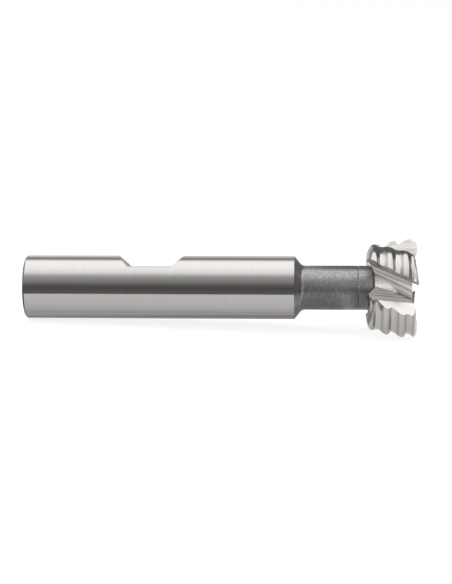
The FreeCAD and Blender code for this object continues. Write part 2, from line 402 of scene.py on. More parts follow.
def arc_between(
    start: tuple[float, float], corner: tuple[float, float], end: tuple[float, float],
    radius: float, steps: int = 8,
) -> list[tuple[float, float]]:
    """Round the corner of a profile.

    Args:
        start: point before the corner, as X and radius.
        corner: the corner itself.
        end: point after the corner.
        radius: radius of the rounding.
        steps: straight pieces that follow the arc.

    Returns:
        Points of the arc from the first tangent point to the second.
    """
    at = Vector(corner)
    before = (Vector(start) - at).normalized()
    after = (Vector(end) - at).normalized()
    half = before.angle(after) / 2
    centre = at + (before + after).normalized() * (radius / math.sin(half))
    first = at + before * (radius / math.tan(half)) - centre
    last = at + after * (radius / math.tan(half)) - centre
    sweep = first.angle_signed(last)
    turned = []
    for step in range(steps + 1):
        angle = -sweep * step / steps
        turned.append((
            centre.x + first.x * math.cos(angle) - first.y * math.sin(angle),
            centre.y + first.x * math.sin(angle) + first.y * math.cos(angle),
        ))
    return turned


def turned_patch(
    profile: list[tuple[float, float]], segments: int, first: float
) -> tuple[np.ndarray, np.ndarray]:
    """Turn a profile round the tool's axis.

    Args:
        profile: points as X and radius.
        segments: faces in a full turn.
        first: angle at which the turn starts and ends.

    Returns:
        Grid of points, and its lay map with the marks running round the tool.
    """
    profile_array = np.array(profile)
    turn = np.linspace(0, 360, segments + 1) + first
    ring = polar(1.0, turn)
    grid = np.empty((len(profile_array), segments + 1, 3))
    grid[..., 0] = profile_array[:, None, 0]
    grid[..., 1:] = profile_array[:, None, 1, None] * ring[None]
    steps = np.hypot(*np.diff(profile_array, axis=0).T)
    along = np.concatenate([[0], np.cumsum(steps)]) + profile_array[0, 0]
    lay = np.empty((*grid.shape[:2], 2))
    lay[..., 0] = along[:, None]
    lay[..., 1] = np.radians(turn)[None] * profile_array[0, 1]
    return grid, lay


def well_inside(points: np.ndarray, outline: np.ndarray, gap: float) -> np.ndarray:
    """Find the points that lie inside a closed outline and clear of it.

    Args:
        points: points of the plane.
        outline: corners of the outline in order.
        gap: least distance from the outline.

    Returns:
        True for each point that does.
    """
    starts, ends = outline, np.roll(outline, -1, axis=0)
    way = ends - starts
    offset = points[:, None] - starts[None]
    share = np.clip((offset * way).sum(-1) / np.maximum((way**2).sum(-1), TINY), 0, 1)
    distance = np.linalg.norm(offset - share[..., None] * way[None], axis=-1).min(1)
    crosses = (starts[None, :, 1] > points[:, None, 1]) != (ends[None, :, 1] > points[:, None, 1])
    rise = np.where(way[:, 1] == 0, TINY, way[:, 1])
    at = starts[None, :, 0] + (points[:, None, 1] - starts[None, :, 1]) / rise * way[None, :, 0]
    inside = ((points[:, None, 0] < at) & crosses).sum(1) % 2 == 1
    return inside & (distance > gap)


@dataclass
class Bar:
    """Shank with its clamping flat, cone, neck and core, turned as one bar.

    The flat's long edges are stoned; the fine darker line along them is painted shade.
    The neck's underside beside the head is darkened with painted shade. Rows, rings and
    steps are the mesh's divisions.
    """

    # Shank and flat
    shank_diameter: float = 10.0
    shank_length: float = 42.7
    chamfer: float = 0.3
    edge_break: float = 0.06
    flat_centre: float = 20.0
    flat_length: float = 7.0
    flat_depth: float = 1.75
    flat_turn: float = ROLL
    # Cone, neck and core
    neck_diameter: float = 7.0
    cone_angle: float = 51.0
    cone_fillet: float = 0.8
    line_at: float = 52.7
    line_width: float = 0.2
    line_depth: float = 0.06
    neck_end: float = 55.3
    neck_end_bevel: float = 0.4
    core_diameter: float = 6.0
    core_end: float = 60.9
    # Painted shade on the flat's stoned edges and under the neck beside the head
    stoned_edge_painted_columns: float = 2.5
    stoned_edge_painted_shade: float = 0.68
    under_shade_from: float = 50.6
    under_shade_run: float = 1.6
    under_painted_shade: float = 0.5
    under_shade_level: float = 0.5
    under_shade_slope: float = 1.2
    # Mesh
    segments: int = 288
    chord_steps: int = 24
    run_rows: int = 25
    flat_rows: int = 5
    plain_rows: tuple[int, int] = (24, 28)
    end_rings: int = 16
    end_rim: float = 0.2
    edge_steps: int = 4
    fillet_steps: int = 16
    cone_rows: int = 6
    neck_rows: int = 20
    after_rows: int = 6
    core_rows: int = 12

    def middle(self) -> float:
        """Angle of the flat's middle round the tool."""
        return 90 + self.flat_turn

    def flat_stations(self) -> np.ndarray:
        """Places along the shank where its skin has a row of points.

        Returns:
            The places from the shank's end on, closest where the flat runs out.
        """
        half = self.flat_length / 2
        run = np.linspace(0, 1, self.run_rows) ** 2 * self.flat_depth
        outer = half + self.flat_depth
        side = np.concatenate([outer - run, np.linspace(half, 0, self.flat_rows)[1:]])
        near = self.flat_centre - side
        far = self.flat_centre + side[::-1]
        plain_near = np.linspace(self.chamfer, near[0], self.plain_rows[0])[:-1]
        plain_far = np.linspace(far[-1], self.shank_length, self.plain_rows[1])[1:]
        return np.concatenate([plain_near, near, far[1:], plain_far])

    def cut_angle(self, x: np.ndarray) -> np.ndarray:
        """Half angle of the circle that the flat takes away, in degrees.

        Args:
            x: places along the shank.

        Returns:
            The half angle at each place, 0 outside the flat.
        """
        radius = self.shank_diameter / 2
        beyond = np.maximum(0, np.abs(x - self.flat_centre) - self.flat_length / 2)
        height = radius - self.flat_depth + beyond
        return np.degrees(np.arccos(np.minimum(1, height / radius)))

    def add_barrel(self, skin: Skin) -> None:
        """Add the ground cylinder, open where the flat is, and the flat itself.

        Args:
            skin: skin that gets both.
        """
        radius = self.shank_diameter / 2
        middle = self.middle()
        x = self.flat_stations()
        cut = self.cut_angle(x)
        share = np.linspace(0, 1, self.segments + 1)
        turn = middle + cut[:, None] + (360 - 2 * cut[:, None]) * share[None]
        grid = np.empty((*turn.shape, 3))
        grid[..., 0] = x[:, None]
        grid[..., 1:] = polar(radius, turn)
        lay = np.stack([grid[..., 0], np.radians(turn) * radius], axis=-1)
        # Painted shade: the colour is darkened in a fine line along the flat's stoned edges.
        rim = np.minimum(share, 1 - share) * self.segments < self.stoned_edge_painted_columns
        tint = np.where(rim[None] & (cut[:, None] > 0), self.stoned_edge_painted_shade, 1.0)
        skin.add_grid(grid, lay, Surface.GROUND, tint)

        inside = np.abs(x - self.flat_centre) <= self.flat_length / 2 + self.flat_depth + SLACK
        x, cut = x[inside], cut[inside]
        ends = polar(radius, middle - cut), polar(radius, middle + cut)
        share = np.linspace(0, 1, self.chord_steps + 1)[None, :, None]
        grid = np.empty((len(x), self.chord_steps + 1, 3))
        grid[..., 0] = x[:, None]
        grid[..., 1:] = ends[0][:, None] * (1 - share) + ends[1][:, None] * share
        across = (share[..., 0] - 0.5) * 2 * radius * np.sin(np.radians(cut))[:, None]
        lay = np.stack([grid[..., 0], across], axis=-1)
        skin.add_grid(grid, lay, Surface.SEAT)

    def end_profile(self) -> list[tuple[float, float]]:
        """Profile of the shank end.

        Returns:
            X and radius from its middle to the start of the barrel.
        """
        radius = self.shank_diameter / 2
        rim = (0.0, radius - self.chamfer)
        edge = (self.chamfer, radius)
        soft = arc_between((0.0, 0.0), rim, edge, self.edge_break, self.edge_steps)
        rings = [(0.0, r) for r in np.linspace(0, rim[1] - self.end_rim, self.end_rings)]
        return [*rings, *soft, edge]

    def neck_profile(self) -> list[tuple[float, float]]:
        """Profile of cone and neck, with the fine turned line.

        Returns:
            X and radius from the shank to the start of the core.
        """
        shank = self.shank_diameter / 2
        neck = self.neck_diameter / 2
        foot = self.shank_length + (shank - neck) / math.tan(math.radians(self.cone_angle))
        start = (self.shank_length, shank)
        line = self.line_at
        half = self.line_width / 2
        fillet = arc_between(
            start, (foot, neck), (line, neck), self.cone_fillet, self.fillet_steps
        )
        cone = [
            (start[0] + (fillet[0][0] - start[0]) * s, start[1] + (fillet[0][1] - start[1]) * s)
            for s in np.linspace(0, 1, self.cone_rows)[:-1]
        ]
        before = np.linspace(fillet[-1][0], line - half, self.neck_rows)[1:]
        after = np.linspace(line + half, self.neck_end - self.neck_end_bevel, self.after_rows)
        return [
            *cone, *fillet, *((x, neck) for x in before), (line, neck - self.line_depth),
            *((x, neck) for x in after), (self.neck_end, neck - self.neck_end_bevel),
        ]

    def neck_tint(self, grid: np.ndarray) -> np.ndarray:
        """Share of light kept by the neck: painted shade darkens its underside beside the head.

        Args:
            grid: points of the neck.

        Returns:
            The share at each point.
        """
        turn = radius_and_angle(grid[..., 1:])[1] - ROLL
        # Painted shade: the neck's underside is darkened, more so towards the head.
        under = np.clip(self.under_shade_level - self.under_shade_slope * np.sin(np.radians(turn)), 0, 1)
        beside = np.clip((grid[..., 0] - self.under_shade_from) / self.under_shade_run, 0, 1)
        return 1 - self.under_painted_shade * under * beside

    def core_profile(self) -> list[tuple[float, float]]:
        """Profile of the core in the gullets, closed at its end inside the head.

        Returns:
            X and radius from the neck's end to the axis.
        """
        core = self.core_diameter / 2
        neck = self.neck_diameter / 2
        run = [(x, core) for x in np.linspace(self.neck_end, self.core_end, self.core_rows)]
        return [(self.neck_end, neck - self.neck_end_bevel), *run, (self.core_end, 0.0)]

    def build(self) -> bpy.types.Object:
        """Build the whole bar as one piece.

        Returns:
            The closed bar.
        """
        skin = Skin()
        middle = self.middle()
        skin.add_grid(*turned_patch(self.end_profile(), self.segments, middle), Surface.FACE)
        self.add_barrel(skin)
        neck, neck_lay = turned_patch(self.neck_profile(), self.segments, middle)
        skin.add_grid(neck, neck_lay, Surface.SATIN, self.neck_tint(neck))
        skin.add_grid(*turned_patch(self.core_profile(), self.segments, middle), Surface.CORE)
        return skin.build("turned_bar", CREASE)


class Facet(Enum):
    """The facets round one tooth, from its edge to the next."""

    LAND = "land"
    BEVEL = "heel bevel"
    FLOOR = "gullet floor"
    WALL = "gullet wall"
    RAKE = "rake face"


@dataclass(frozen=True)
class GulletLine:
    """One corner line of the gullets, given at the back and at the cutting face.

    Turns are degrees from the first cutting edge at the middle of the head.
    """

    back_radius: float
    back_turn: float
    face_radius: float
    face_turn: float


@dataclass
class Head:
    """Head with its waved and relieved lands, gullets and hollow end faces.

    A land's wave falls steeply and rises slowly, and each tooth's wave is shifted. The
    fields named search are shares of a line between which it meets a land. Rows, rings
    and steps are the mesh's divisions.
    """

    # Head and teeth
    back: float = 54.0
    face: float = 62.0
    radius: float = 7.96
    allowance: float = 0.1
    corner: float = 1.45
    corner_blend: float = 0.04
    teeth: int = 4
    edge_angle: float = 33.4
    twist: float = 31.3
    # Relief of the lands, in degrees where it is an angle behind the edge
    relief: float = 0.9
    span: float = 47.0
    before_edge: float = 20.0
    share_limit: float = 1.5
    turn_limit: float = 70.0
    # Wave of the lands
    pitch: float = 2.45
    depth: float = 0.66
    fade: float = 0.5
    fall: float = 0.37
    fall_lean: float = 1.45
    crest: float = 3.6
    # Back face and cutting face
    back_rim: float = 6.55
    back_dish: float = 1.2
    dish_foot: float = 3.5
    back_relief: float = 0.28
    face_relief: float = 6.0
    face_rim: float = 5.4
    face_floor: float = 4.9
    face_dish: float = 0.95
    # Gullets
    rake_foot: GulletLine = GulletLine(
        back_radius=4.85, back_turn=30.3, face_radius=4.9, face_turn=-16.7
    )
    root: GulletLine = GulletLine(
        back_radius=2.2, back_turn=22.5, face_radius=4.4, face_turn=-52.2
    )
    heel_foot: GulletLine = GulletLine(
        back_radius=7.35, back_turn=-34.4, face_radius=4.7, face_turn=-52.0
    )
    rake_run: float = 1.6
    bevel_turn: float = -85.7
    least_bevel: float = 0.03
    same_point: float = 0.0001
    # Painted shade on the lands' slopes and at the gullets' roots
    flank_shade: float = 0.36
    flank_power: float = 1.5
    rise_shade: float = 0.34
    rise_lean: float = 1.4
    rise_power: float = 8.0
    root_shade: float = 0.5
    root_reach: float = 0.24
    # Where lines meet the lands and the ends
    rake_search: tuple[float, float] = (0.3, 0.9)
    bevel_search: tuple[float, float] = (0.0, 0.8)
    floor_search: tuple[float, float] = (0.1, 1.0)
    halvings: int = 30
    end_rounds: int = 12
    # Mesh, with the ends' rings from a first radius to a limit by a step
    land_steps: int = 44
    narrow_steps: int = 10
    wall_steps: int = 16
    corner_rows: int = 15
    middle_rows: int = 96
    rings: tuple[float, float, float] = (0.4, 7.4, 0.32)
    ring_points: int = 40
    ring_least: int = 8
    rim_gap: float = 0.1
    marks_apart: float = 20.0

    def tooth_turn(self, tooth: np.ndarray | int) -> np.ndarray | float:
        """Degrees from the first tooth to another."""
        return 360 / self.teeth * tooth

    def crest_at(self, tooth: np.ndarray | int) -> np.ndarray | float:
        """Place of a crest of one tooth's wave along the head."""
        return self.back + self.crest + self.pitch * tooth / self.teeth

    def edge_at(self, x: np.ndarray | float) -> np.ndarray | float:
        """Angle of the first cutting edge at a place along the head."""
        middle = (self.back + self.face) / 2
        return self.edge_angle + self.twist * (middle - x) / (self.face - self.back)

    def wave(self, distance: np.ndarray) -> np.ndarray:
        """Depth below the crest line, from 0 to 1.

        Args:
            distance: millimetres past a crest.

        Returns:
            The share of the wave's depth.
        """
        share = (distance / self.pitch) % 1.0
        steep = (1 - np.cos(np.pi * (share / self.fall) ** self.fall_lean)) / 2
        slow = (1 + np.cos(np.pi * (share - self.fall) / (1 - self.fall))) / 2
        return np.where(share < self.fall, steep, slow)

    def behind_edge(self, angle: np.ndarray, edge: np.ndarray | float) -> np.ndarray:
        """Degrees behind a tooth's edge, or less than zero shortly before the next."""
        pitch = 360 / self.teeth
        return (angle - edge + self.before_edge) % pitch - self.before_edge

    def corner_radius_at(self, inset: np.ndarray) -> np.ndarray:
        """Radius of the rounded corner at a distance in from an end face.

        Args:
            inset: the distance.

        Returns:
            The radius there.
        """
        inside = np.clip(inset, 0, self.corner)
        rise = np.sqrt(np.maximum(0, self.corner**2 - (self.corner - inside) ** 2))
        return self.radius + self.allowance - self.corner + rise

    def land_radius(self, x: np.ndarray, angle: np.ndarray, tooth: np.ndarray) -> np.ndarray:
        """Radius of one tooth's land, corners included.

        Args:
            x: places along the head.
            angle: angles round the tool, in degrees.
            tooth: number of the tooth, from 0.

        Returns:
            The land's radius there.
        """
        past = angle - self.edge_at(x) - self.tooth_turn(tooth)
        share = np.clip(past / self.span, 0, self.share_limit)
        drop = self.relief * share
        depth = self.depth * (1 - self.fade * np.minimum(share, 1))
        waved = self.radius - drop - depth * self.wave(x - self.crest_at(tooth))
        back = self.corner_radius_at(x - self.back - self.back_relief * share) - drop
        slope = math.tan(math.radians(self.face_relief))
        behind = np.clip(past, 0, self.turn_limit)
        sink = slope * (self.radius - drop) * np.sin(np.radians(behind))
        front = self.corner_radius_at(self.face - sink - x) - drop
        corner = np.minimum(back, front)
        return (waved + corner - np.hypot(waved - corner, self.corner_blend)) / 2

    def corner_line(self, line: GulletLine, x: np.ndarray) -> np.ndarray:
        """Place of one of the gullet's corner lines in a cross-section.

        Args:
            line: the corner line.
            x: places along the head.

        Returns:
            Y and Z of the line in the first gullet.
        """
        share = ((x - self.back) / (self.face - self.back))[..., None]
        near = polar(line.back_radius, self.edge_angle + line.back_turn)
        far = polar(line.face_radius, self.edge_angle + line.face_turn)
        return near * (1 - share) + far * share

    @staticmethod
    def turned(points: np.ndarray, degrees: np.ndarray) -> np.ndarray:
        """Points turned round the tool's axis.

        Args:
            points: Y and Z in the last axis.
            degrees: how far each point turns from -Y towards +Z.

        Returns:
            The turned points.
        """
        radius, angle = radius_and_angle(points)
        return polar(radius, angle + degrees)

    def meet(
        self, start: np.ndarray, way: np.ndarray, x: np.ndarray, tooth: np.ndarray,
        search: tuple[float, float],
    ) -> np.ndarray:
        """Where lines in the cross-sections reach a tooth's land.

        Args:
            start: start of each line.
            way: direction of each line.
            x: place of each cross-section.
            tooth: number of the tooth whose land is met.
            search: shares of the way that are still inside the land and past it.

        Returns:
            The meeting points.
        """
        low = np.full(x.shape, search[0])
        high = np.full(x.shape, search[1])
        middle_of_land = self.edge_at(x) + self.tooth_turn(tooth) + self.span / 2
        for _ in range(self.halvings):
            middle = (low + high) / 2
            radius, angle = radius_and_angle(start + way * middle[..., None])
            angle = middle_of_land + (angle - middle_of_land + 180) % 360 - 180
            inside = radius < self.land_radius(x, angle, tooth)
            low = np.where(inside, middle, low)
            high = np.where(inside, high, middle)
        return start + way * low[..., None]

    def edge_point(self, x: np.ndarray, tooth: np.ndarray) -> np.ndarray:
        """Cutting edge of a tooth, where its rake face meets its land.

        The rake face is straight in both end faces and ruled between them.

        Args:
            x: place of each cross-section.
            tooth: number of the tooth.

        Returns:
            Y and Z of the edge.
        """
        turn = self.tooth_turn(tooth)
        share = ((x - self.back) / (self.face - self.back))[..., None]
        foot = self.corner_line(self.rake_foot, x)
        tops = []
        for end in (self.back, self.face):
            inner = self.corner_line(self.rake_foot, np.array(end))
            outer = polar(self.radius, self.edge_at(end))
            tops.append(inner + self.rake_run * (outer - inner))
        top = tops[0] * (1 - share) + tops[1] * share
        foot, top = self.turned(foot, turn), self.turned(top, turn)
        return self.meet(foot, top - foot, x, tooth, self.rake_search)

    def heel_points(self, x: np.ndarray, tooth: np.ndarray) -> tuple[np.ndarray, np.ndarray]:
        """Heel of a tooth and the foot of its bevel.

        Where the land lies inside the foot there is no bevel, and the gullet's floor
        itself meets the land.

        Args:
            x: place of each cross-section.
            tooth: number of the tooth.

        Returns:
            Y and Z of the heels and of the feet.
        """
        turn = self.tooth_turn(tooth + 1)
        foot = self.turned(self.corner_line(self.heel_foot, x), turn)
        root = self.turned(self.corner_line(self.root, x), turn)
        way = polar(self.radius, self.edge_angle + self.bevel_turn + turn)
        bevelled = self.meet(foot, way, x, tooth, self.bevel_search)
        plain = self.meet(root, foot - root, x, tooth, self.floor_search)
        inside = np.linalg.norm(plain - foot, axis=-1) < self.same_point
        heel = np.where(inside[..., None], bevelled, plain)
        return heel, np.where(inside[..., None], foot, plain)

    def back_x(self, points: np.ndarray) -> np.ndarray:
        """Place of the back face at points of the cross-section.

        Args:
            points: Y and Z in the last axis.

        Returns:
            X of the back face there.
        """
        radius, angle = radius_and_angle(points)
        behind = self.behind_edge(angle, self.edge_at(self.back))
        share = np.clip(behind / self.span, 0, 1)
        step = self.back_relief * share
        rim = self.back_rim - self.relief * share
        hollow = (rim - radius) / (rim - self.dish_foot)
        return self.back + step + (self.back_dish - step) * np.clip(hollow, 0, 1)

    def face_x(self, points: np.ndarray) -> np.ndarray:
        """Place of the cutting face at points of the cross-section.

        Args:
            points: Y and Z in the last axis.

        Returns:
            X of the cutting face there.
        """
        radius, angle = radius_and_angle(points)
        behind = np.maximum(0, self.behind_edge(angle, self.edge_at(self.face)))
        slope = math.tan(math.radians(self.face_relief))
        relieved = self.face - slope * radius * np.sin(np.radians(behind))
        wall = (self.face_rim - radius) / (self.face_rim - self.face_floor)
        return np.minimum(relieved, self.face - self.face_dish * np.clip(wall, 0, 1))

    def facets(self) -> list[tuple[Facet, int, Surface]]:
        """List the facets round one tooth, from its edge to the next.

        Returns:
            Each facet with the steps across it and its finish.
        """
        return [
            (Facet.LAND, self.land_steps, Surface.LAND),
            (Facet.BEVEL, self.narrow_steps, Surface.HEEL),
            (Facet.FLOOR, self.narrow_steps, Surface.FLUTE),
            (Facet.WALL, self.wall_steps, Surface.FLUTE),
            (Facet.RAKE, self.narrow_steps, Surface.RAKE),
        ]

    def facet_points(
        self, facet: Facet, share: np.ndarray, x: np.ndarray, tooth: np.ndarray
    ) -> np.ndarray:
        """Points of one facet in the cross-sections.

        Args:
            facet: the facet.
            share: how far across the facet, from 0 to 1.
            x: place of each point along the head.
            tooth: number of the tooth.

        Returns:
            Y and Z of each point.
        """
        turn = self.tooth_turn(tooth + 1)
        if facet is Facet.LAND:
            _, first = radius_and_angle(self.edge_point(x, tooth))
            _, last = radius_and_angle(self.heel_points(x, tooth)[0])
            last = first + (last - first) % 360
            angle = first + (last - first) * share
            base = self.edge_at(x) + self.tooth_turn(tooth)
            angle = base + (angle - base + 180) % 360 - 180
            return polar(self.land_radius(x, angle, tooth), angle)
        root = self.turned(self.corner_line(self.root, x), turn)
        rake_foot = self.turned(self.corner_line(self.rake_foot, x), turn)
        ends = {
            Facet.BEVEL: lambda: self.heel_points(x, tooth),
            Facet.FLOOR: lambda: (self.heel_points(x, tooth)[1], root),
            Facet.WALL: lambda: (root, rake_foot),
            Facet.RAKE: lambda: (rake_foot, self.edge_point(x, (tooth + 1) % self.teeth)),
        }
        start, end = ends[facet]()
        return start + (end - start) * share[..., None]

    def stations_along(self) -> np.ndarray:
        """Space the rows of points along the head.

        Returns:
            Shares of the way from the back to the cutting face, closer at the corners.
        """
        corner = self.corner / (self.face - self.back)
        quarter = np.linspace(0, math.pi / 2, self.corner_rows)
        near = corner * (1 - np.cos(quarter))
        middle = np.linspace(corner, 1 - corner, self.middle_rows)[1:-1]
        return np.concatenate([near, middle, 1 - near[::-1]])

    def facet_grid(self, facet: Facet, steps: int, tooth: int) -> np.ndarray:
        """Points of one facet of one tooth.

        Args:
            facet: the facet.
            steps: faces across it.
            tooth: number of the tooth.

        Returns:
            X, Y and Z, from back to face and across.
        """
        along = self.stations_along()[:, None]
        share = np.broadcast_to(np.linspace(0, 1, steps + 1)[None], (len(along), steps + 1))
        number = np.full(share.shape, tooth)
        near = np.full(share.shape, self.back)
        far = np.full(share.shape, self.face)
        # The end faces are curved, so the facet's lines are followed to them in rounds.
        for _ in range(self.end_rounds):
            near = self.back_x(self.facet_points(facet, share, near, number))
            far = self.face_x(self.facet_points(facet, share, far, number))
        x = near + (far - near) * along
        flat = self.facet_points(facet, share, x, number)
        return np.concatenate([x[..., None], flat], axis=-1)

    def tooth_grids(self, tooth: int) -> dict[Facet, np.ndarray]:
        """Grids of all facets of one tooth.

        Where the bevel is too narrow to be seen it closes to a line.

        Args:
            tooth: number of the tooth.

        Returns:
            The grid of each facet.
        """
        grids = {facet: self.facet_grid(facet, steps, tooth) for facet, steps, _ in self.facets()}
        heels = grids[Facet.LAND][:, -1]
        heel, foot = self.heel_points(heels[:, 0], np.full(len(heels), tooth))
        narrow = np.linalg.norm(heel - foot, axis=-1) < self.least_bevel
        grids[Facet.BEVEL][narrow] = heels[narrow, None]
        grids[Facet.FLOOR][narrow, 0] = heels[narrow]
        return grids

    def add_facet(
        self, skin: Skin, facet: Facet, grid: np.ndarray, surface: Surface, tooth: int
    ) -> None:
        """Add one facet's grid with its tool marks.

        Args:
            skin: skin that gets the facet.
            facet: the facet.
            grid: its points.
            surface: its finish.
            tooth: number of the tooth.
        """
        steps_across = np.linalg.norm(np.diff(grid, axis=1), axis=-1)
        across = np.concatenate([np.zeros((len(grid), 1)), np.cumsum(steps_across, axis=1)], axis=1)
        across += self.marks_apart * tooth
        x = grid[..., 0]
        on_land = facet is Facet.LAND
        lay = np.stack([x, across] if on_land else [across, x], axis=-1)
        tint = self.land_tint(grid, tooth) if on_land else self.root_tint(grid, facet)
        skin.add_grid(grid, lay, surface, tint)

    def root_tint(self, grid: np.ndarray, facet: Facet) -> np.ndarray:
        """Share of light kept by a gullet's walls: painted shade darkens them towards the root.

        Args:
            grid: points of the facet.
            facet: the facet.

        Returns:
            The share at each point.
        """
        if facet not in (Facet.FLOOR, Facet.WALL):
            return np.ones(grid.shape[:2])
        root = grid[:, -1:] if facet is Facet.FLOOR else grid[:, :1]
        away = np.linalg.norm(grid - root, axis=-1)
        # Painted shade: the walls are darkened towards the gullet's root.
        return 1 - self.root_shade * np.exp(-((away / self.root_reach) ** 2))

    def land_tint(self, grid: np.ndarray, tooth: int) -> np.ndarray:
        """Share of light kept on a land.

        The steep flanks of its waves are darkened with painted shade, and a thin grey line of
        painted shade follows the middle of each long slope.

        Args:
            grid: points of the land.
            tooth: number of the tooth.

        Returns:
            The share at each point.
        """
        share = ((grid[..., 0] - self.crest_at(tooth)) / self.pitch) % 1.0
        fallen = np.minimum(share / self.fall, 1) ** self.fall_lean
        risen = np.maximum((share - self.fall) / (1 - self.fall), 0) ** self.rise_lean
        steep = np.where(share < self.fall, np.sin(np.pi * fallen), 0.0) ** self.flank_power
        slow = np.where(share < self.fall, 0.0, np.sin(np.pi * risen)) ** self.rise_power
        # Painted shade on the steep flanks and along the middle of the long slopes.
        return 1 - self.flank_shade * steep - self.rise_shade * slow

    def add_end(self, skin: Skin, rim: np.ndarray, at_face: bool) -> None:
        """Close one end of the head.

        Args:
            skin: skin that gets the end.
            rim: points round the end, X, Y and Z.
            at_face: whether this is the cutting face.
        """
        place = self.face_x if at_face else self.back_x
        creases = (self.face_rim, self.face_floor) if at_face else (self.back_rim, self.dish_foot)
        rings = np.concatenate([np.arange(*self.rings), creases])
        inner = []
        for ring in rings:
            number = int(self.ring_points * ring) + self.ring_least
            inner.append(polar(ring, np.linspace(0, 360, number, endpoint=False)))
        inner = np.concatenate(inner)
        outline = rim[:, 1:]
        flat = np.concatenate([outline, inner[well_inside(inner, outline, self.rim_gap)]])
        loop = list(range(len(outline)))[::-1]
        made, _, triangles, sources, _, owners = delaunay_2d_cdt(
            [Vector(p) for p in flat], [], [loop], 1, SLACK
        )
        # Triangles outside the outline have no owner.
        keep = np.array([corners for corners, owner in zip(triangles, owners) if owner])
        flat = np.array([tuple(p) for p in made])
        x = place(flat)
        # Points of the rim keep their own place along the tool.
        for number, source in enumerate(sources):
            if source and min(source) < len(rim):
                x[number] = rim[min(source), 0]
        points = np.concatenate([x[:, None], flat], axis=1)
        radius, angle = radius_and_angle(flat)
        lay = np.stack([radius, np.radians(angle) * radius], axis=-1)
        skin.add_faces(points, keep, lay, Surface.FACE)

    def build(self) -> bpy.types.Object:
        """Build the head as one piece.

        Returns:
            The closed head.
        """
        skin = Skin()
        back_rim, face_rim = [], []
        for tooth in range(self.teeth):
            grids = self.tooth_grids(tooth)
            for facet, _, surface in self.facets():
                grid = grids[facet]
                self.add_facet(skin, facet, grid, surface, tooth)
                back_rim.append(grid[0, :-1])
                face_rim.append(grid[-1, :-1])
        self.add_end(skin, np.concatenate(back_rim), False)
        self.add_end(skin, np.concatenate(face_rim), True)
        return skin.build("toothed_head", CREASE)


def cleared_tree(owner: bpy.types.Material | bpy.types.World) -> bpy.types.NodeTree:
    """Empty the node tree of a material or a world.

    Args:
        owner: the material or world.

    Returns:
        Its node tree, without a node.
    """
    owner.use_nodes = True
    owner.node_tree.nodes.clear()
    return owner.node_tree


def shown_rays(tree: bpy.types.NodeTree) -> bpy.types.NodeSocket:
    """Tell what is looked at from what only lights the tool.

    Args:
        tree: node tree that gets the nodes.

    Returns:
        A socket that is 1 for camera, glossy and transmission rays, and else 0.
    """
    ray = add_node(tree, "ShaderNodeLightPath")
    seen = ray.outputs["Is Camera Ray"]
    for kind in ("Is Glossy Ray", "Is Transmission Ray"):
        either = add_node(
            tree, "ShaderNodeMath", {"operation": "MAXIMUM"}, {0: seen, 1: ray.outputs[kind]}
        )
        seen = either.outputs[0]
    return seen


def graded(
    tree: bpy.types.NodeTree, angle: bpy.types.NodeSocket, levels: tuple, top: float = 1.0
) -> bpy.types.NodeSocket:
    """Ramp over an angle.

    Args:
        tree: node tree that gets the nodes.
        angle: the angle in radians.
        levels: degrees and brightness of each stop.
        top: brightness that the ramp shows as white.

    Returns:
        The ramp's colour.
    """
    low, high = levels[0][0], levels[-1][0]
    share = add_node(
        tree, "ShaderNodeMapRange",
        {"From Min": math.radians(low), "From Max": math.radians(high)},
        {"Value": angle},
    )
    stops = tuple(((place - low) / (high - low), grey(level / top)) for place, level in levels)
    ramp = add_node(tree, "ShaderNodeValToRGB", {"stops": stops}, {"Fac": share.outputs[0]})
    return ramp.outputs["Color"]


def add_sheet(
    name: str, points: list, faces: list, material: bpy.types.Material
) -> bpy.types.Object:
    """Add a mesh of the stage from its points.

    Args:
        name: name of the object.
        points: corners in metres.
        faces: numbers of the corners round each face.
        material: its material.

    Returns:
        The object, marked as stage.
    """
    mesh = bpy.data.meshes.new(name)
    mesh.from_pydata(points, [], faces)
    mesh.materials.append(material)
    made = bpy.data.objects.new(name, mesh)
    bpy.context.scene.collection.objects.link(made)
    return made


def add_card(name: str, level: float, points: list, faces: list) -> None:
    """Add a card or cloth of even brightness that only the steel shows.

    Args:
        name: name of the card.
        level: its brightness.
        points: corners in metres.
        faces: numbers of the corners round each face.
    """
    material = bpy.data.materials.new(name)
    tree = cleared_tree(material)
    glow = add_node(tree, "ShaderNodeEmission", {"Color": grey(level), "Strength": 1.0})
    add_node(tree, "ShaderNodeOutputMaterial", {}, {"Surface": glow.outputs[0]})
    card = add_sheet(name, points, faces, material)
    card.visible_camera = False
    card.visible_diffuse = False
    card.visible_shadow = False


def bent_sheet(
    radius: float, turns: tuple[float, float], ends: tuple[float, float], steps: int
) -> tuple[list, list]:
    """Bend a sheet round the tool's axis.

    Args:
        radius: distance from the axis, in metres.
        turns: first and last angle round the tool, in degrees.
        ends: places of its left and right edge along the tool, in metres.
        steps: faces round the bend.

    Returns:
        The points, left and right in turn, and the faces between them.
    """
    points, faces = [], []
    for step in range(steps + 1):
        turn = math.radians(turns[0] + (turns[1] - turns[0]) * step / steps)
        y = -radius * math.cos(turn)
        z = radius * math.sin(turn)
        points += [(end, y, z) for end in ends]
        if step:
            last = 2 * step
            faces.append((last - 2, last - 1, last + 1, last))
    return points, faces


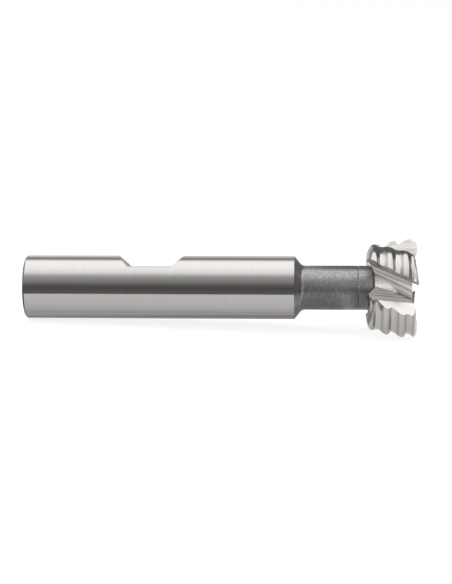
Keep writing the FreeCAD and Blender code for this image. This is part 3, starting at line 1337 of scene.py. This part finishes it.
@dataclass
class Floor:
    """Pale paper through the lowest points of shank and head, sloping down to the head."""

    drop: float = -5.0
    pitch: float = 2.25
    reach: float = 3.0
    colour: str = "#909090"
    lift: float = 0.82

    def height(self, x: float, above: float = 0.0) -> float:
        """Height in metres at a place along the tool, some millimetres above the paper."""
        return (self.drop + above) * MM - x * math.tan(math.radians(self.pitch))

    def build(self) -> None:
        """Build the floor, lifted to white where it is looked at."""
        material = bpy.data.materials.new("paper_matt_white")
        tree = cleared_tree(material)
        paper = add_node(tree, "ShaderNodeBsdfDiffuse", {"Color": linear(self.colour)})
        lift = add_node(tree, "ShaderNodeEmission", {"Strength": self.lift})
        both = add_node(tree, "ShaderNodeAddShader", {}, {0: paper.outputs[0], 1: lift.outputs[0]})
        shown = add_node(tree, "ShaderNodeMixShader", {},
                         {0: shown_rays(tree), 1: paper.outputs[0], 2: both.outputs[0]})
        add_node(tree, "ShaderNodeOutputMaterial", {}, {"Surface": shown.outputs[0]})
        corners = ((-1, -1), (1, -1), (1, 1), (-1, 1))
        points = [
            (x * self.reach, y * self.reach, self.height(x * self.reach)) for x, y in corners
        ]
        add_sheet("floor", points, [(0, 1, 2, 3)], material)


@dataclass
class Tent:
    """Light tent round the tool, in metres, graded as the tool reflects it.

    Angles round the tool are counted from straight ahead in the photograph and upwards.
    Angles along it are seen from the head, and rise towards the right. Each level is
    given with its angle in degrees.
    """

    radius: float = 0.5
    half_length: float = 1.6
    turns: tuple[float, float] = (-2.0, 182.0)
    steps: int = 96
    strength: float = 2.0
    head_at: float = 0.058
    round_levels: tuple = (
        (-13, 0.16), (-4, 0.14), (4, 0.18), (11, 0.28), (18, 0.40), (30, 0.56),
        (40, 0.75), (47, 1.2), (54, 1.55), (66, 1.80), (84, 2.0), (104, 2.0),
        (110, 1.6), (117, 0.9), (123, 0.36), (128, 0.42), (135, 0.66), (145, 0.9),
        (165, 1.0), (195, 1.0),
    )
    along_shares: tuple = ((-75, 0.6), (-48, 0.45), (-38, 1.0), (75, 1.0))
    panel_level: float = 2.0
    panel_round: tuple = ((-14, 1.0), (34, 1.0), (50, 0.0))
    panel_along: tuple = ((-75, 0.5), (-65, 1.0), (-26, 1.0), (-18, 0.0))
    right_along: tuple = ((54, 0.0), (62, 1.0))

    def cloth(self) -> bpy.types.Material:
        """Make the tent's lit cloth.

        Returns:
            A glowing cloth: graded round the tool and along it, with a bright panel low
            on the left and an even end on the right.
        """
        material = bpy.data.materials.new("tent_cloth_lit")
        tree = cleared_tree(material)
        place = add_node(tree, "ShaderNodeTexCoord")
        turned = add_node(
            tree, "ShaderNodeVectorRotate",
            {"rotation_type": "X_AXIS", "Angle": math.radians(ROLL)},
            {"Vector": place.outputs["Object"]},
        )
        parts = add_node(tree, "ShaderNodeSeparateXYZ", {}, {"Vector": turned.outputs[0]})
        front = add_node(tree, "ShaderNodeMath", {"operation": "MULTIPLY", 1: -1.0},
                         {0: parts.outputs["Y"]})
        angle = add_node(tree, "ShaderNodeMath", {"operation": "ARCTAN2"},
                         {0: parts.outputs["Z"], 1: front.outputs[0]})
        low = math.radians(self.round_levels[0][0] - 1)
        wrapped = add_node(tree, "ShaderNodeMath",
                           {"operation": "WRAP", 1: low + 2 * math.pi, 2: low},
                           {0: angle.outputs[0]})
        from_head = add_node(tree, "ShaderNodeMath", {"operation": "SUBTRACT", 1: self.head_at},
                             {0: parts.outputs["X"]})
        side = add_node(tree, "ShaderNodeMath", {"operation": "ARCTAN2", 1: self.radius},
                        {0: from_head.outputs[0]})
        rounds, sides = wrapped.outputs[0], side.outputs[0]

        product = {"data_type": "RGBA", "blend_type": "MULTIPLY", MIX_FACTOR: 1.0}
        main = add_node(tree, "ShaderNodeMix", product,
                        {COLOUR_FIRST: graded(tree, rounds, self.round_levels, self.strength),
                         COLOUR_SECOND: graded(tree, sides, self.along_shares)})
        panel = add_node(tree, "ShaderNodeMix", product,
                         {COLOUR_FIRST: graded(tree, rounds, self.panel_round),
                          COLOUR_SECOND: graded(tree, sides, self.panel_along)})
        lit = main.outputs[COLOUR_MIXED]
        for level, share in (
            (self.panel_level, panel.outputs[COLOUR_MIXED]),
            (RIGHT_LEVEL, graded(tree, sides, self.right_along)),
        ):
            patch = add_node(
                tree, "ShaderNodeMix",
                {"data_type": "RGBA", COLOUR_SECOND: grey(level / self.strength)},
                {MIX_FACTOR: share, COLOUR_FIRST: lit},
            )
            lit = patch.outputs[COLOUR_MIXED]
        glow = add_node(tree, "ShaderNodeEmission", {"Strength": self.strength}, {"Color": lit})
        add_node(tree, "ShaderNodeOutputMaterial", {}, {"Surface": glow.outputs[0]})
        return material

    def build(self) -> None:
        """Build the tent, closed at both ends, unseen by the camera itself."""
        ends = (-self.half_length, self.half_length)
        points, faces = bent_sheet(self.radius, self.turns, ends, self.steps)
        faces += [tuple(range(first, len(points), 2)) for first in (0, 1)]
        tent = add_sheet("light_tent", points, faces, self.cloth())
        tent.visible_camera = False


@dataclass(frozen=True)
class Card:
    """A four-cornered card or cloth on the floor, in metres, and its lift in millimetres."""

    name: str
    level: float
    lift: float
    left: float
    front: float
    right: float
    back: float


@dataclass(frozen=True)
class BentCard:
    """A card bent round the head, its places in metres and its turns in degrees."""

    name: str
    level: float
    radius: float
    turns: tuple[float, float]
    ends: tuple[float, float]


@dataclass
class Cards:
    """Cloths and cards that only the steel shows, on the floor and round the head.

    Places are in metres and lifts above the paper in millimetres. The front cloths end
    on a line that the shank mirrors straight. Strips of paper in front of the shank are
    graded for its underside.
    """

    floor: Floor
    # Places
    reach: float = 0.8
    depth: float = 0.6
    behind: float = 0.05
    left: float = -0.003
    right: float = 0.08
    shank_to: float = 0.0432
    neck_to: float = 0.0507
    head_from: float = 0.0562
    straight: tuple[float, float] = (-0.06, 0.12)
    shank_front: float = -0.005
    cloth_angle: float = 14.2
    under_to: float = 0.012
    # Lifts
    front_lift: float = 0.25
    cloth_lift: float = 0.2
    neck_lift: float = 0.1
    paper_lift: float = 0.05
    # Brightness
    cloth_level: float = 0.18
    head_level: float = 0.42
    back_level: float = 0.43
    neck_level: float = 0.45
    under_level: float = 0.4
    # Graded strips and bent cards
    grade_levels: tuple = (1.05, 1.03, 0.97, 0.88, 0.78, 0.64)
    grade_edges: tuple = (-0.034, -0.014, -0.0095, -0.0066, -0.0052, -0.0042, -0.0024)
    bent_steps: int = 16
    bent: tuple[BentCard, ...] = (
        BentCard("flag_back", level=0.24, radius=0.04, turns=(101.0, 157.0), ends=(0.046, 0.1)),
        BentCard("card_core", level=2.0, radius=0.04, turns=(-4.0, 24.0), ends=(0.0558, 0.07)),
    )

    def cloth_edge(self, x: float) -> float:
        """Y where the front cloth ends, seen by the shank at one angle all along."""
        x = min(max(x, self.straight[0]), self.straight[1])
        return self.shank_front + self.floor.height(x) / math.tan(math.radians(self.cloth_angle))

    def add_front(self) -> None:
        """Add the dark cloth in front of the shank and the paler one before the head."""
        for name, level, places in (
            ("cloth_front", self.cloth_level, (-self.reach, self.straight[0], self.head_from)),
            ("cloth_front_head", self.head_level, (self.head_from, self.straight[1], self.reach)),
        ):
            rim = [(x, self.cloth_edge(x)) for x in reversed(places)]
            outline = [(places[0], -self.depth), (places[-1], -self.depth), *rim]
            points = [(x, y, self.floor.height(x, self.front_lift)) for x, y in outline]
            add_card(name, level, points, [tuple(range(len(points)))])

    def flat_cards(self) -> list[Card]:
        """Lay out the four-cornered cards and cloths.

        Returns:
            The graded strips, the cloths round the tool, and the cards below it.
        """
        edges = self.grade_edges
        near = edges[0]
        grades = [
            Card(f"card_grade_{number}", level, self.paper_lift, self.left, start, self.shank_to, end)
            for number, (level, start, end) in enumerate(zip(self.grade_levels, edges, edges[1:]))
        ]
        return [
            *grades,
            Card("cloth_left", self.cloth_level, self.cloth_lift,
                 -self.reach, near, self.left, self.behind),
            Card("cloth_right", RIGHT_LEVEL, self.cloth_lift,
                 self.right, near, self.reach, self.behind),
            Card("cloth_back", self.back_level, self.cloth_lift,
                 -self.reach, self.behind, self.reach, self.depth),
            Card("card_neck", self.neck_level, self.neck_lift,
                 self.shank_to, near, self.neck_to, self.behind),
            Card("card_under", self.under_level, self.paper_lift,
                 self.left, edges[-1], self.shank_to, self.under_to),
        ]

    def build(self) -> None:
        """Build all cloths and cards."""
        self.add_front()
        for card in self.flat_cards():
            corners = (
                (card.left, card.front), (card.right, card.front),
                (card.right, card.back), (card.left, card.back),
            )
            points = [(x, y, self.floor.height(x, card.lift)) for x, y in corners]
            add_card(card.name, card.level, points, [(0, 1, 2, 3)])
        for card in self.bent:
            turns = (ROLL + card.turns[0], ROLL + card.turns[1])
            points, faces = bent_sheet(card.radius, turns, card.ends, self.bent_steps)
            add_card(card.name, card.level, points, faces)


@dataclass
class View:
    """Camera at the photograph's place, looking square at the tool, in millimetres."""

    focal_pixels: float = 1780.5
    picture_pixels: float = 584.0
    sensor_height: float = 36.0
    distance: float = 282.0
    along: float = 47.6
    aim_height: float = -0.75
    yaw: float = 3.2
    roll: float = 0.23

    def build(self) -> None:
        """Build the camera and look through it."""
        data = bpy.data.cameras.new("camera")
        camera = bpy.data.objects.new("camera", data)
        bpy.context.scene.collection.objects.link(camera)
        bpy.context.scene.camera = camera
        data.sensor_fit = "VERTICAL"
        data.sensor_height = self.sensor_height
        data.lens = self.focal_pixels / self.picture_pixels * self.sensor_height
        aside = self.distance * math.tan(math.radians(self.yaw))
        place = Vector((self.along, -self.distance, 0.0))
        target = Vector((self.along - aside, 0.0, self.aim_height))
        look = (target - place).to_track_quat("-Z", "Y").to_matrix().to_4x4()
        tilt = Matrix.Rotation(math.radians(-ROLL), 4, "X")
        roll = Matrix.Rotation(math.radians(self.roll), 4, "Z")
        camera.matrix_world = tilt @ Matrix.Translation(place * MM) @ look @ roll


@dataclass
class Studio:
    """Room, floor, light tent, cards and camera."""

    room_level: float = 0.6

    def world(self) -> None:
        """Make the room: white where it is looked at, grey where it only lights the tool."""
        world = bpy.data.worlds.new("studio")
        bpy.context.scene.world = world
        tree = cleared_tree(world)
        room = add_node(tree, "ShaderNodeBackground", {"Color": grey(self.room_level), "Strength": 1.0})
        white = add_node(tree, "ShaderNodeBackground", {"Color": grey(1.0), "Strength": 1.0})
        shown = add_node(tree, "ShaderNodeMixShader", {},
                         {0: shown_rays(tree), 1: room.outputs[0], 2: white.outputs[0]})
        add_node(tree, "ShaderNodeOutputWorld", {}, {"Surface": shown.outputs[0]})

    def build(self) -> None:
        """Set up the whole studio."""
        floor = Floor()
        self.world()
        for part in (floor, Tent(), Cards(floor), View()):
            part.build()
        bpy.context.scene.view_settings.view_transform = "Standard"


def main() -> None:
    """Build the cutter and its studio."""
    logging.basicConfig(level=logging.INFO, format="%(message)s")
    for name in ("Cube", "Light", "Camera"):
        if name in bpy.data.objects:
            bpy.data.objects.remove(bpy.data.objects[name])
    for part in (Bar(), Head()):
        piece = part.build()
        triangles = sum(len(face.vertices) - 2 for face in piece.data.polygons)
        log.info("%s: %d triangles", piece.name, triangles)
    Studio().build()
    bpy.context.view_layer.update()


if __name__ == "__main__":
    main()
